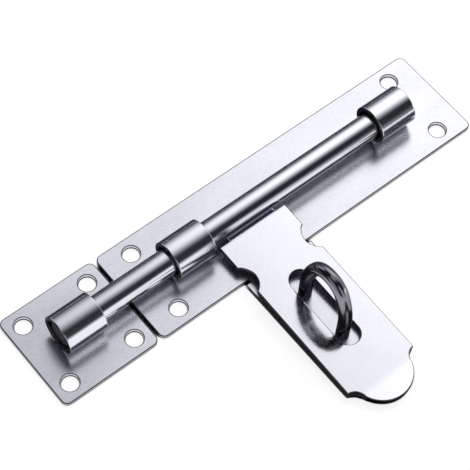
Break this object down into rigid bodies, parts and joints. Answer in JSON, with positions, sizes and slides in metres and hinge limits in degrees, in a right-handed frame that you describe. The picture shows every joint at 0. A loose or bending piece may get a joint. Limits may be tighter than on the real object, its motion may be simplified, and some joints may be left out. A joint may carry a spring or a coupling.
{
  "type": "sliding bolt",
  "caption": "Steel sliding bolt in rolled barrels on a flat base plate, with a separate keeper and a hasp plate that drops over a wire staple to take a padlock.",
  "frame": {"origin": "middle of the base plate's screw holes, on the plate's back face", "axes": "+X along the bolt, from the keeper towards the right guide; +Y across the plate, away from the hasp; +Z out of the door"},
  "size_m": [0.1876, 0.1074, 0.0305],
  "materials": {
    "brushed_plate": "brushed stainless steel sheet",
    "polished_barrel": "polished stainless steel strap",
    "drawn_rod": "drawn and polished stainless steel bar",
    "satin_hasp": "satin stainless steel sheet",
    "polished_wire": "polished stainless steel wire"
  },
  "bodies": {
    "base": {"base_plate": "brushed_plate", "guide_barrel_left": "polished_barrel", "guide_barrel_right": "polished_barrel", "keeper_plate": "brushed_plate", "keeper_barrel": "polished_barrel", "staple": "polished_wire"},
    "bolt": {"bolt_rod": "drawn_rod"},
    "hasp": {"hasp_plate": "satin_hasp"}
  },
  "joints": [
    {"name": "bolt_slide", "type": "slide", "parent": "base", "child": "bolt", "axis": [1, 0, 0], "range_m": [-0.0021, 0.0009]},
    {"name": "hasp_swing", "type": "hinge", "parent": "bolt", "child": "hasp", "pos_m": [-0.0219, 0, 0.0089], "axis": [-1, 0, 0], "range_deg": [0, 180]}
  ]
}
